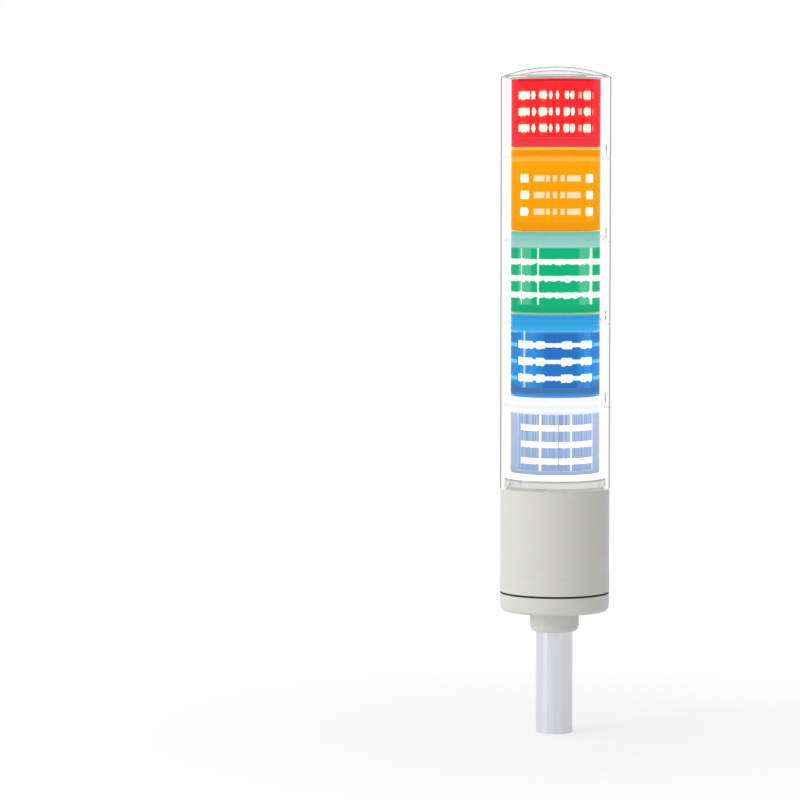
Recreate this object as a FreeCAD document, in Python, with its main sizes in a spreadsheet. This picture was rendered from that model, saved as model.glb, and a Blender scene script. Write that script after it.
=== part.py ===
import FreeCAD
import Part
import Sketcher
import math
import os

# Five-tier stack light on a pole, in millimetres.
# +Z is up, the origin is the centre of the pole's lower end and -Y is the front.
# The base and its pole stand still.  Each tier is one light module that drops over the neck
# below it and twists home under three bayonet lugs; the clear cap closes the top one.

Vector = FreeCAD.Vector
Rotation = FreeCAD.Rotation
Placement = FreeCAD.Placement

os.makedirs("parts", exist_ok=True)
doc = FreeCAD.newDocument("stack_light")

# name, value, what it is
SIZES = [
    ("body_radius", 30.0, "outer radius of the globes and the base housing"),
    ("tier_pitch", 45.0, "height that each light module adds"),
    # clear globe
    ("globe_wall", 2.0, "wall of the clear globe"),
    ("shoulder_thick", 2.0, "flat shoulder that carries the neck"),
    ("top_height", 44.4, "height of the top module, which carries the cap"),
    ("neck_height", 6.9, "neck above the shoulder"),
    ("neck_wall", 2.4, "wall of the neck"),
    ("neck_gap", 0.4, "radial gap from a neck to the skirt over it"),
    ("rim_gap", 0.15, "gap under a globe's lower rim"),
    ("rim_round", 0.4, "rounding of a globe's upper corner"),
    # bayonet
    ("bayonet_count", 3, "lugs round a skirt"),
    ("bayonet_angle", -30.0, "direction of the first lug"),
    ("lug_angle", 8.0, "width of a lug in degrees"),
    ("lug_proud", 1.1, "how far a lug stands in from the skirt"),
    ("lug_height", 1.3, "height of a lug"),
    ("lug_rise", 2.15, "underside of a lug above the globe's rim"),
    ("turn_angle", 22.0, "twist from locked to free, in degrees"),
    ("channel_gap", 0.3, "clearance round a lug in its channel"),
    # neck seal
    ("seal_section", 1.2, "square section of the seal at a neck's root"),
    ("seal_rise", 0.25, "underside of the seal's groove above the shoulder"),
    ("seal_proud", 0.3, "how far the seal stands out of the neck"),
    # coloured filter
    ("filter_clear", 0.9, "gap from a filter to the neck round it"),
    ("filter_wall", 1.3, "wall of the filter"),
    ("filter_rise", 5.7, "edge between two filters above the globe's rim"),
    ("filter_gap", 0.2, "gap under a filter"),
    ("flute_count", 48, "flutes inside a filter"),
    ("flute_depth", 0.5, "depth of a flute"),
    # light unit inside the filter
    ("slip_gap", 0.05, "slip fit between pieces of one module"),
    ("unit_rise", 9.6, "underside of the frame above the globe's rim"),
    ("flange_thick", 1.2, "lower flange of the frame"),
    ("cup_drop", 2.3, "underside of the frame's upper cup below the next rim"),
    ("cup_floor", 1.5, "floor of the cup"),
    ("cup_wall", 2.0, "wall of the frame's upper cup"),
    ("frame_wall", 1.6, "wall of the frame's six-sided post"),
    ("face_count", 6, "flats of the post, each with a light board"),
    ("board_side", 1.24, "how much narrower a light board is than its flat"),
    ("board_thick", 1.2, "thickness of a light board"),
    ("board_end", 0.3, "gap at a light board's ends"),
    ("led_rows", 3, "rows of lamps"),
    ("row_ends", 13.3, "height of a board that the pitches of its rows leave over"),
    ("row_drop", 1.75, "middle row below the middle of the boards"),
    ("led_width", 3.2, "width of a lamp"),
    ("led_height", 3.0, "height of a lamp"),
    ("led_thick", 1.2, "thickness of a lamp"),
    ("led_offset", 4.2, "lamp's centre from the middle of its board"),
    ("lamp_clear", 0.3, "gap from a lamp's or post's corner to the prism"),
    ("prism_clear", 2.0, "gap from the ribbed clear prism to the filter"),
    ("prism_wall", 1.6, "wall of the prism"),
    ("rib_count", 30, "ribs round the prism"),
    ("rib_depth", 0.6, "depth between the prism's ribs"),
    ("cut_lap", 1.33, "width of a flute's or rib's cut over its pitch"),
    # contacts
    ("contact_count", 6, "spring leaves under a module"),
    ("contact_inset", 2.35, "leaves' circle inside the cup's wall"),
    ("contact_angle", 15.0, "direction of the first leaf"),
    ("leaf_width", 2.0, "width of a spring leaf"),
    ("leaf_thick", 0.5, "thickness of a spring leaf"),
    ("leaf_bend", 1.3, "how far a leaf's foot is bent outwards"),
    ("leaf_gap", 0.3, "gap from a leaf's foot to its pad"),
    ("pad_width", 3.0, "width of a contact pad"),
    ("pad_thick", 0.4, "thickness of a contact pad"),
    # base housing and the plate on it
    ("housing_height", 56.5, "base housing up to its shoulder"),
    ("housing_wall", 2.2, "wall of the base housing"),
    ("waist_rise", 9.5, "height of the fine step round the housing"),
    ("waist_depth", 0.15, "depth of that step"),
    ("reveal", 0.6, "shadow gap between the neck and the contact plate"),
    ("plate_inset", 0.6, "contact plate's edge inside the neck's"),
    ("plate_thick", 3.0, "rim of the contact plate"),
    ("plate_floor", 1.6, "floor of the contact plate"),
    ("plate_land", 4.6, "width of the rim round the plate's well"),
    # base cap, gasket and what is inside
    ("gasket_thick", 1.2, "black gasket between base cap and housing"),
    ("gasket_inset", 0.35, "how far the gasket is set back"),
    ("cap_side", 9.3, "side of the base cap"),
    ("cap_draft", 0.35, "draft of that side"),
    ("cone_height", 2.0, "slope of the base cap"),
    ("cone_round", 2.6, "rounding between slope and side"),
    ("cap_wall", 2.4, "wall of the base cap"),
    ("spigot_height", 4.2, "spigot of the base cap inside the housing"),
    ("spigot_gap", 0.15, "slip gap round the spigot"),
    ("pillar_count", 3, "pillars from the base cap to the contact plate"),
    ("pillar_inset", 3.4, "pillars' circle inside the plate's well"),
    ("pillar_radius", 3.0, "upper part of a pillar"),
    ("pillar_step", 0.8, "shoulder on a pillar, which carries the board"),
    ("board_level", 39.0, "board above the housing's lower edge"),
    ("base_board_clear", 4.3, "gap from the base's circuit board to the housing"),
    ("base_board_thick", 1.6, "thickness of that board"),
    ("screw_radius", 1.45, "shank of a tie screw"),
    ("screw_length", 14.0, "shank length of a tie screw"),
    ("screw_head", 2.75, "head radius of a tie screw"),
    # pole and its socket
    ("pole_radius", 10.0, "outer radius of the pole"),
    ("pole_wall", 1.5, "wall of the pole"),
    ("pole_shown", 56.0, "pole below the collar"),
    ("pole_inside", 44.0, "turned end of the pole inside the socket"),
    ("pole_step", 0.4, "how much that end is turned down"),
    ("collar_step", 2.05, "how far the collar stands out of the stem"),
    ("collar_height", 9.6, "height of the collar"),
    ("collar_round", 2.6, "rounding of the collar's lower edge"),
    ("collar_draft", 0.3, "taper of the collar"),
    ("stem_wall", 1.8, "wall of the socket's threaded stem"),
    ("stop_thick", 2.0, "stop lip over the pole's end"),
    ("nut_wall", 1.6, "wall of the lock nut at its flats"),
    ("nut_height", 6.0, "height of the lock nut"),
    ("seat_height", 2.6, "seat of the lock nut above the collar"),
    ("grub_radius", 2.0, "radius of a set screw"),
    ("grub_length", 3.0, "length of a set screw"),
    # clear top cap
    ("dome_rise", 5.2, "rise of the clear cap"),
    ("dome_inset", 0.5, "clear cap's rim inside the globe's wall"),
    ("dome_wall", 2.0, "wall of the clear cap"),
    ("dome_spigot", 2.0, "depth of the cap's spigot"),
    ("dome_seal", 0.5, "seal under the cap"),
    ("end_clear", 0.12, "gap from the end disc to the dome over its edge"),
    ("end_thick", 1.5, "white disc that closes the top module"),
]


class Size:
    """A size and the expression that gives it in the document."""

    def __init__(self, value, text):
        self.value = value
        self.text = text

    def join(self, sign, other, value, swap=False):
        left, right = (text(other), self.text) if swap else (self.text, text(other))
        return Size(value, f"({left} {sign} {right})")

    def __add__(self, other):
        return self.join("+", other, self.value + number(other))

    def __radd__(self, other):
        return self.join("+", other, number(other) + self.value, True)

    def __sub__(self, other):
        return self.join("-", other, self.value - number(other))

    def __rsub__(self, other):
        return self.join("-", other, number(other) - self.value, True)

    def __mul__(self, other):
        return self.join("*", other, self.value * number(other))

    def __rmul__(self, other):
        return self.join("*", other, number(other) * self.value, True)

    def __truediv__(self, other):
        return self.join("/", other, self.value / number(other))


def root(size):
    """Square root of a size."""
    return Size(math.sqrt(size.value), f"sqrt({size.text})")


def least(one, other):
    """The smaller of two sizes."""
    return Size(min(one.value, other.value), f"min({one.text}; {other.text})")


def number(size):
    return size.value if isinstance(size, Size) else float(size)


def text(size):
    return size.text if isinstance(size, Size) else repr(float(size))


class Named:
    """The sizes by name."""


sheet = doc.addObject("Spreadsheet::Sheet", "Sizes")
d = Named()
for line, (name, amount, meaning) in enumerate(SIZES, start=1):
    sheet.set(f"A{line}", name)
    sheet.set(f"B{line}", repr(amount))
    sheet.set(f"C{line}", meaning)
    sheet.setAlias(f"B{line}", name)
    setattr(d, name, Size(float(amount), f"Sizes.{name}"))
doc.recompute()

# Levels up the axis
collar_level = d.pole_shown
cone_level = collar_level + d.collar_height
side_level = cone_level + d.cone_height
gasket_level = side_level + d.cap_side
housing_level = gasket_level + d.gasket_thick
tiers_level = housing_level + d.housing_height
pole_top = d.pole_shown + d.pole_inside
nut_level = cone_level + d.seat_height
board_level = housing_level + d.board_level
pad_rise = d.cup_floor - d.cup_drop
flange_top = d.unit_rise + d.flange_thick
well_level = tiers_level + pad_rise
tiers = ["white", "blue", "green", "amber", "red"]

# Radii that pieces share
skirt_radius = d.body_radius - d.globe_wall
neck_radius = skirt_radius - d.neck_gap
neck_bore = neck_radius - d.neck_wall
groove_radius = neck_radius + d.seal_proud - d.seal_section
channel_radius = skirt_radius - d.lug_proud - d.channel_gap
filter_radius = neck_bore - d.filter_clear
filter_bore = filter_radius - d.filter_wall
flange_radius = filter_bore - d.slip_gap
cup_bore = flange_radius - d.cup_wall
contact_circle = cup_bore - d.contact_inset
prism_radius = filter_bore - d.prism_clear
prism_bore = prism_radius - d.prism_wall
plate_radius = neck_radius - d.plate_inset
plate_well = plate_radius - d.plate_land
pillar_circle = plate_well - d.pillar_inset
pole_bore = d.pole_radius - d.pole_wall
pole_end_radius = d.pole_radius - d.pole_step
socket_bore = pole_end_radius + d.slip_gap
stem_radius = socket_bore + d.stem_wall
collar_radius = stem_radius + d.collar_step
nut_flat = stem_radius + d.slip_gap + d.nut_wall
spigot_radius = d.body_radius - d.housing_wall - d.spigot_gap
spigot_bore = spigot_radius - d.cap_wall / 1.5

# The post is as wide as the prism leaves room for its corners and for boards and lamps
half_face = math.pi / number(d.face_count)
lamp_reach = prism_bore - d.lamp_clear
lamp_corner = d.led_offset + d.led_width / 2
lamp_face = root(lamp_reach * lamp_reach - lamp_corner * lamp_corner)
frame_flat = least(lamp_face - d.led_thick - d.board_thick, lamp_reach * math.cos(half_face))
board_face = frame_flat + d.board_thick
board_width = least(
    2 * frame_flat * math.tan(half_face) - d.board_side,
    2 * root(lamp_reach * lamp_reach - board_face * board_face),
)

# Flutes and ribs: half widths of their cuts at the wall, where each overlaps the next and leaves a sharp crest
flute_half = d.cut_lap * math.pi * filter_bore / d.flute_count
rib_half = d.cut_lap * math.pi * prism_radius / d.rib_count

# The clear cap is part of a sphere; the end disc lies just under its edge
dome_radius = d.body_radius - d.dome_inset
dome_curve = (dome_radius * dome_radius + d.dome_rise * d.dome_rise) / (2 * d.dome_rise)
dome_centre = d.dome_rise - dome_curve
dome_inner = dome_curve - d.dome_wall


def dome_ceiling(radius):
    """Height of the dome's inner face above its rim, at a radius."""
    return dome_centre + root(dome_inner * dome_inner - radius * radius)


end_drop = d.end_thick + d.end_clear - dome_ceiling(filter_radius)

subparts = []


def keep(piece, label):
    """Name a finished sub-part, which also names its file."""
    piece.Label = label
    subparts.append(piece)
    return piece


def raise_to(piece, level):
    """Tie a piece's height to a level."""
    piece.Placement = Placement(Vector(0, 0, number(level)), Rotation())
    if isinstance(level, Size):
        piece.setExpression("Placement.Base.z", level.text)


def origin(body, role):
    return next(f for f in body.Origin.OriginFeatures if f.Role == role)


def new_sketch(body, name, plane, turn=0.0, lift=0, turn_z=0.0):
    """A sketch on one of the body's own planes.  An upright one is turned about the axis by
    turn, and a level one is lifted along it and turned by turn_z."""
    sketch = body.newObject("Sketcher::SketchObject", name)
    sketch.AttachmentSupport = (origin(body, plane), [""])
    sketch.MapMode = "FlatFace"
    spin = Rotation(Vector(0, 0, 1), turn_z) if turn_z else Rotation(Vector(0, 1, 0), turn)
    sketch.AttachmentOffset = Placement(Vector(0, 0, number(lift)), spin)
    if isinstance(lift, Size):
        sketch.setExpression("AttachmentOffset.Base.z", lift.text)
    return sketch


def bind(sketch, constraints):
    """Add constraints, each with the size that drives it."""
    first = sketch.ConstraintCount
    sketch.addConstraint([rule for rule, size in constraints])
    for place, (rule, size) in enumerate(constraints, start=first):
        if isinstance(size, Size):
            sketch.setExpression(f"Constraints[{place}]", size.text)


def outline(sketch, points):
    """A closed outline.  A point is (x, y), or (x, y, radius) where an arc ends at it;
    the arc bulges to the right of its chord, or to the left where the radius is negative."""
    spots = [Vector(number(p[0]), number(p[1]), 0) for p in points]
    count = len(points)
    rules = []
    for i in range(count):
        start, end = spots[i], spots[(i + 1) % count]
        target = points[(i + 1) % count]
        if len(target) == 3:
            radius, side = abs(number(target[2])), 1 if number(target[2]) > 0 else -1
            chord = end - start
            across = Vector(chord.y, -chord.x, 0).normalize() * side
            sag = radius - math.sqrt(radius**2 - (chord.Length / 2) ** 2)
            middle = (start + end) * 0.5 + across * sag
            edge = Part.Arc(start, middle, end)
            sketch.addGeometry(edge, False)
            size = target[2] if side > 0 else 0 - target[2]
            rules.append((Sketcher.Constraint("Radius", i, radius), size))
        else:
            sketch.addGeometry(Part.LineSegment(start, end), False)
    # an arc keeps its ends counter-clockwise, so each corner joins the ends that meet there
    first = []
    for i in range(count):
        begins = sketch.getPoint(i, 1)
        first.append(1 if (begins - spots[i]).Length < 1e-6 else 2)
    for i in range(count):
        j = (i + 1) % count
        rules.append(
            (Sketcher.Constraint("Coincident", i, 3 - first[i], j, first[j]), None)
        )
    for i, point in enumerate(points):
        for kind, axis, amount in (("DistanceX", -2, point[0]), ("DistanceY", -1, point[1])):
            if number(amount) == 0:
                rule = Sketcher.Constraint("PointOnObject", i, first[i], axis)
                rules.append((rule, None))
            else:
                rule = Sketcher.Constraint(kind, -1, 1, i, first[i], number(amount))
                rules.append((rule, amount))
    bind(sketch, rules)


def circle(sketch, radius, x=0, y=0):
    """A circle with its radius and centre tied to their sizes."""
    place = sketch.addGeometry(
        Part.Circle(Vector(number(x), number(y), 0), Vector(0, 0, 1), number(radius)), False
    )
    rules = [(Sketcher.Constraint("Radius", place, number(radius)), radius)]
    for kind, axis, amount in (("DistanceX", -2, x), ("DistanceY", -1, y)):
        if number(amount) == 0:
            rules.append((Sketcher.Constraint("PointOnObject", place, 3, axis), None))
        else:
            rule = Sketcher.Constraint(kind, -1, 1, place, 3, number(amount))
            rules.append((rule, amount))
    bind(sketch, rules)


def turned(body, name, points, angle=None, start=0.0, cut=False):
    """Turn an outline (radius, height) about the axis, all the way or through an angle."""
    sketch = new_sketch(body, name + "_outline", "XZ_Plane", start)
    outline(sketch, points)
    kind = "PartDesign::Groove" if cut else "PartDesign::Revolution"
    feature = body.newObject(kind, name)
    feature.Profile = sketch
    feature.ReferenceAxis = (sketch, ["V_Axis"])
    feature.Angle = 360.0 if angle is None else number(angle)
    if isinstance(angle, Size):
        feature.setExpression("Angle", angle.text)
    return feature


def extruded(body, name, sketch, length, cut=False, down=False):
    """Pad a sketch, or cut it away, upwards unless told otherwise."""
    feature = body.newObject("PartDesign::Pocket" if cut else "PartDesign::Pad", name)
    feature.Profile = sketch
    feature.Length = number(length)
    if isinstance(length, Size):
        feature.setExpression("Length", length.text)
    # a pad goes up by itself and a pocket goes down
    feature.Reversed = down if not cut else not down
    return feature


def around(body, name, features, count):
    """Repeat features evenly about the axis."""
    pattern = body.newObject("PartDesign::PolarPattern", name)
    pattern.Originals = features
    pattern.Axis = (origin(body, "Z_Axis"), [""])
    pattern.Angle = 360.0
    pattern.Occurrences = int(number(count))
    pattern.setExpression("Occurrences", count.text)
    body.Tip = pattern
    return pattern


def rounded(body, name, base, spots, radius):
    """Round the edges of the last feature that run through the given (radius, height) spots."""
    doc.recompute()
    chosen = []
    for i, edge in enumerate(base.Shape.Edges, start=1):
        for r, z in spots:
            probe = edge.valueAt(edge.FirstParameter)
            if (
                math.hypot(probe.x, probe.y) - number(r)
            ) ** 2 + (probe.z - number(z)) ** 2 < 1e-6:
                turn = edge.valueAt(0.5 * (edge.FirstParameter + edge.LastParameter))
                if abs(math.hypot(turn.x, turn.y) - number(r)) < 1e-3:
                    if abs(turn.z - number(z)) < 1e-3:
                        chosen.append(f"Edge{i}")
    fillet = body.newObject("PartDesign::Fillet", name)
    fillet.Base = (base, sorted(set(chosen)))
    fillet.Radius = number(radius)
    fillet.setExpression("Radius", radius.text)
    return fillet


def new_body(name):
    return doc.addObject("PartDesign::Body", name)


def primitive(kind, name, **sizes):
    """A Part primitive with its sizes tied to theirs."""
    piece = doc.addObject("Part::" + kind, name)
    for key, size in sizes.items():
        setattr(piece, key, number(size))
        if isinstance(size, Size):
            piece.setExpression(key, size.text)
    return piece


def gathered(label, solids):
    """Identical small pieces, kept together in one sub-part."""
    piece = doc.addObject("Part::Feature", label)
    piece.Shape = Part.makeCompound(solids)
    piece.Placement = Placement()
    return keep(piece, label)


def spread(solid, count, start=0.0):
    """Copies of a solid round the axis."""
    copies = []
    for i in range(int(number(count))):
        copy = solid.copy()
        angle = start + 360.0 * i / number(count)
        copy.rotate(Vector(), Vector(0, 0, 1), angle)
        copies.append(copy)
    return copies


def cylinder(radius, height, x=0, z=0, y=0, axis=Vector(0, 0, 1)):
    place = Vector(number(x), number(y), number(z))
    return Part.makeCylinder(number(radius), number(height), place, axis)


def box(length, width, height, x, y, z):
    """A box centred on x and y that stands on z."""
    corner = Vector(number(x) - number(length) / 2, number(y) - number(width) / 2, number(z))
    return Part.makeBox(number(length), number(width), number(height), corner)


# ---------------------------------------------------------------- bayonet and neck


def bayonet_channels(body, shoulder, neck_top):
    """Cut the L-shaped channels into a neck that stands on the given shoulder.
    A lug enters from the top at turn_angle and ends under the neck's lip when locked."""
    inner, outer = channel_radius, neck_radius + d.neck_gap
    low = shoulder + d.rim_gap + d.lug_rise - d.channel_gap
    high = low + d.lug_height + 2 * d.channel_gap
    top = neck_top + 1
    clear = math.degrees(number(d.channel_gap) / number(inner))
    half = d.lug_angle / 2 + clear
    run = turned(
        body,
        "channel_run",
        [(inner, low), (outer, low), (outer, high), (inner, high)],
        angle=d.turn_angle + 2 * half,
        start=number(d.bayonet_angle) - number(half),
        cut=True,
    )
    entry = turned(
        body,
        "channel_entry",
        [(inner, low), (outer, low), (outer, top), (inner, top)],
        angle=2 * half,
        start=number(d.bayonet_angle) + number(d.turn_angle) - number(half),
        cut=True,
    )
    return around(body, "channels", [run, entry], d.bayonet_count)


def seal_groove(shoulder):
    """Corners of the seal's groove at a neck's root, from the bottom up."""
    low = shoulder + d.seal_rise
    high = low + d.seal_section + 0.1
    return [
        (neck_radius, low),
        (groove_radius, low),
        (groove_radius, high),
        (neck_radius, high),
    ]


def make_ring(label, level, outer, inner, height):
    """Flat ring, a wide disc with a round hole through it."""
    disc = primitive("Cylinder", label + "_disc", Radius=outer, Height=height)
    hole = primitive("Cylinder", label + "_hole", Radius=inner, Height=height)
    ring = doc.addObject("Part::Cut", label)
    ring.Base, ring.Tool = disc, hole
    raise_to(ring, level)
    return keep(ring, label)


def make_seal(label, shoulder):
    """Square-section seal in the groove of the neck that stands on the given level."""
    return make_ring(
        label,
        shoulder + d.seal_rise + 0.05,
        groove_radius + d.seal_section,
        groove_radius,
        d.seal_section,
    )


# ---------------------------------------------------------------- one light module


def make_globe(colour, level, last):
    """Clear globe: skirt with lugs, wall, shoulder and neck.  The last one has no neck."""
    body = new_body(colour + "_globe")
    rim = d.rim_gap
    top = d.top_height - d.dome_seal if last else d.tier_pitch
    under = d.tier_pitch - d.shoulder_thick
    if last:
        points = [
            (skirt_radius, rim),
            (d.body_radius, rim),
            (d.body_radius, top),
            (skirt_radius, top),
        ]
    else:
        collar = filter_radius + d.slip_gap
        neck_top = top + d.neck_height
        points = [
            (skirt_radius, rim),
            (d.body_radius, rim),
            (d.body_radius, top),
            (neck_radius, top),
            *seal_groove(top),
            (neck_radius, neck_top),
            (neck_bore, neck_top),
            (neck_bore, top),
            (collar, top),
            (collar, under),
            (skirt_radius, under),
        ]
    shell = turned(body, "shell", points)
    if not last:
        shell = rounded(body, "shoulder_edge", shell, [(d.body_radius, top)], d.rim_round)
    lug_low = rim + d.lug_rise
    lug_in = skirt_radius - d.lug_proud
    lug = turned(
        body,
        "lug",
        [
            (lug_in, lug_low),
            (skirt_radius + d.globe_wall / 4, lug_low),
            (skirt_radius + d.globe_wall / 4, lug_low + d.lug_height),
            (lug_in, lug_low + d.lug_height),
        ],
        angle=d.lug_angle,
        start=number(d.bayonet_angle) - number(d.lug_angle) / 2,
    )
    around(body, "lugs", [lug], d.bayonet_count)
    if not last:
        bayonet_channels(body, top, top + d.neck_height)
    raise_to(body, level)
    return keep(body, colour + "_globe")


def notch(sketch, wall, tip, half):
    """V-shaped outline with its open side clear of a wall and its tip inside the material."""
    outline(sketch, [(wall, 0 - half), (tip, 0), (wall, half)])


def make_filter(colour, level, low, high):
    """Coloured sleeve, smooth outside and fluted inside."""
    body = new_body(colour + "_filter")
    height = high - low
    ring = new_sketch(body, "ring", "XY_Plane")
    circle(ring, filter_radius)
    circle(ring, filter_bore)
    extruded(body, "sleeve", ring, height)
    flute = new_sketch(body, "flute_outline", "XY_Plane")
    notch(flute, filter_bore - d.flute_depth, filter_bore + d.flute_depth, 2 * flute_half)
    cut = extruded(body, "flute", flute, height, cut=True)
    around(body, "flutes", [cut], d.flute_count)
    raise_to(body, level + low)
    return keep(body, colour + "_filter")


def make_prism(colour, level, low, high):
    """Clear ribbed tube that spreads the lamps' light."""
    body = new_body(colour + "_prism")
    height = high - low
    ring = new_sketch(body, "ring", "XY_Plane")
    circle(ring, prism_radius)
    circle(ring, prism_bore)
    extruded(body, "tube", ring, height)
    valley = new_sketch(body, "valley_outline", "XY_Plane")
    notch(valley, prism_radius + d.rib_depth, prism_radius - d.rib_depth, 2 * rib_half)
    cut = extruded(body, "valley", valley, height, cut=True)
    around(body, "valleys", [cut], d.rib_count)
    raise_to(body, level + low)
    return keep(body, colour + "_prism")


def post_outline(sketch, flat):
    """Regular outline with a corner towards -Y; flat is the distance from axis to flat."""
    count = int(number(d.face_count))
    corner = flat / math.cos(math.pi / count)
    points = []
    for i in range(count):
        angle = math.radians(-90) + 2 * i * math.pi / count
        x, y = round(math.cos(angle), 12), round(math.sin(angle), 12)
        points.append((corner * x if x else 0, corner * y if y else 0))
    outline(sketch, points)


def make_frame(colour, level, last):
    """White frame: lower flange, six-sided post and the cup under the next module."""
    body = new_body(colour + "_led_frame")
    under = d.top_height - end_drop if last else d.tier_pitch - d.cup_drop
    disc = new_sketch(body, "disc", "XY_Plane", lift=d.unit_rise)
    circle(disc, flange_radius)
    extruded(body, "lower_flange", disc, d.flange_thick)
    post = new_sketch(body, "post_outline", "XY_Plane", lift=flange_top - 0.2)
    post_outline(post, frame_flat)
    extruded(body, "post", post, under - flange_top + 0.2)
    top = under
    if not last:
        cup_top = d.tier_pitch + d.filter_rise - d.filter_gap
        top = d.tier_pitch + pad_rise
        turned(
            body,
            "cup",
            [
                (0, under),
                (flange_radius, under),
                (flange_radius, cup_top),
                (cup_bore, cup_top),
                (cup_bore, top),
                (0, top),
            ],
        )
    hollow = new_sketch(body, "hollow_outline", "XY_Plane", lift=d.unit_rise)
    post_outline(hollow, frame_flat - d.frame_wall)
    extruded(body, "hollow", hollow, top - d.unit_rise, cut=True)
    slot = new_sketch(
        body, "leaf_slot_outline", "XY_Plane", turn_z=number(d.contact_angle), lift=d.unit_rise
    )
    reach = d.leaf_thick / 2 + d.slip_gap
    width = d.leaf_width / 2 + d.slip_gap
    outline(
        slot,
        [
            (contact_circle - reach, 0 - width),
            (contact_circle + reach, 0 - width),
            (contact_circle + reach, width),
            (contact_circle - reach, width),
        ],
    )
    cut = extruded(body, "leaf_slot", slot, d.flange_thick, cut=True)
    around(body, "leaf_slots", [cut], d.contact_count)
    raise_to(body, level)
    return keep(body, colour + "_led_frame")


def make_boards(colour, level, under):
    """Light boards on the flats of the post, and the lamps on them."""
    low = level + flange_top + d.board_end
    high = level + under - d.board_end
    first = 180.0 / number(d.face_count)
    board = box(
        board_width,
        d.board_thick,
        number(high) - number(low),
        0,
        -number(frame_flat + d.board_thick / 2),
        low,
    )
    gathered(colour + "_led_boards", spread(board, d.face_count, first))
    lamps = []
    rows = int(number(d.led_rows))
    row_middle = (low + high) / 2 - d.row_drop
    row_pitch = number(high - low - d.row_ends) / (rows - 1)
    for row in range(rows):
        middle = number(row_middle) + (row - (rows - 1) / 2) * row_pitch
        for side in (-1, 1):
            lamp = box(
                d.led_width,
                d.led_thick,
                d.led_height,
                side * number(d.led_offset),
                -number(board_face + d.led_thick / 2),
                middle - number(d.led_height) / 2,
            )
            lamps += spread(lamp, d.face_count, first)
    gathered(colour + "_leds", lamps)


def make_contacts(colour, level):
    """Spring leaves that reach down to the pads of the piece below."""
    foot = number(level + pad_rise + d.pad_thick + d.leaf_gap)
    top = number(level + flange_top)
    r, thick, bend = number(contact_circle), number(d.leaf_thick), number(d.leaf_bend)
    knee = foot + 1.6 * bend
    section = [
        (r - thick / 2, top),
        (r + thick / 2, top),
        (r + thick / 2, knee + thick / 2),
        (r + thick / 2 + bend, foot + thick / 2),
        (r + thick / 2 + bend - thick, foot),
        (r - thick / 2, knee),
    ]
    half = number(d.leaf_width) / 2
    corners = [Vector(x, -half, z) for x, z in section]
    face = Part.Face(Part.makePolygon(corners + corners[:1]))
    leaf = face.extrude(Vector(0, 2 * half, 0))
    leaves = spread(leaf, d.contact_count, number(d.contact_angle))
    gathered(colour + "_contacts", leaves)


def make_pads(label, floor):
    """Contact pads on the floor of a cup or of the contact plate."""
    middle = contact_circle + d.leaf_bend / 2
    pad = box(d.pad_width, d.pad_width, d.pad_thick, middle, 0, floor)
    gathered(label, spread(pad, d.contact_count, number(d.contact_angle)))


for index, colour in enumerate(tiers):
    last = index == len(tiers) - 1
    level = tiers_level + index * d.tier_pitch
    if index == 0:
        low = d.filter_rise + d.plate_thick + d.filter_gap
    else:
        low = d.filter_rise + d.filter_gap
    under = d.top_height - end_drop if last else d.tier_pitch - d.cup_drop
    high = under if last else d.tier_pitch + d.filter_rise
    make_globe(colour, level, last)
    make_filter(colour, level, low, high)
    make_prism(colour, level, flange_top, under)
    make_frame(colour, level, last)
    make_boards(colour, level, under)
    make_contacts(colour, level)
    make_seal(colour + "_seal", level)
    if not last:
        make_pads(colour + "_contact_pads", level + d.tier_pitch + pad_rise)

# ---------------------------------------------------------------- clear cap on the top module

top_level = tiers_level + (len(tiers) - 1) * d.tier_pitch + d.top_height
spigot_out = skirt_radius - d.slip_gap
spigot_in = spigot_out - 1.4
body = new_body("top_cap")
turned(
    body,
    "dome",
    [
        (spigot_in, 0 - d.dome_spigot),
        (spigot_out, 0 - d.dome_spigot),
        (spigot_out, 0),
        (dome_radius, 0),
        (0, d.dome_rise, dome_curve),
        (0, d.dome_rise - d.dome_wall),
        (spigot_in, dome_ceiling(spigot_in), 0 - dome_inner),
    ],
)
raise_to(body, top_level)
keep(body, "top_cap")

make_ring(
    "cap_seal", top_level - d.dome_seal, dome_radius, skirt_radius + 0.1, d.dome_seal
)

body = new_body("end_disc")
turned(
    body,
    "disc",
    [
        (0, 0),
        (prism_radius + 0.2, 0),
        (prism_radius + 0.2, -1.5),
        (flange_radius, -1.5),
        (flange_radius, 0),
        (filter_radius, 0),
        (filter_radius, d.end_thick),
        (0, d.end_thick),
    ],
)
raise_to(body, top_level - end_drop)
keep(body, "end_disc")

# ---------------------------------------------------------------- base housing

body = new_body("base_housing")
inside = d.body_radius - d.housing_wall
roof = d.housing_height - d.housing_wall
neck_top = d.housing_height + d.filter_rise - d.reveal
upper = d.body_radius - d.waist_depth
shell = turned(
    body,
    "shell",
    [
        (inside, 0),
        (d.body_radius, 0),
        (d.body_radius, d.waist_rise),
        (upper, d.waist_rise + d.waist_depth),
        (upper, d.housing_height),
        (neck_radius, d.housing_height),
        *seal_groove(d.housing_height),
        (neck_radius, neck_top),
        (neck_bore, neck_top),
        (neck_bore, roof),
        (inside, roof),
    ],
)
rounded(body, "shoulder_edge", shell, [(upper, d.housing_height)], d.rim_round)
bayonet_channels(body, d.housing_height, neck_top)
raise_to(body, housing_level)
keep(body, "base_housing")

# ---------------------------------------------------------------- contact plate on the neck

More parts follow.
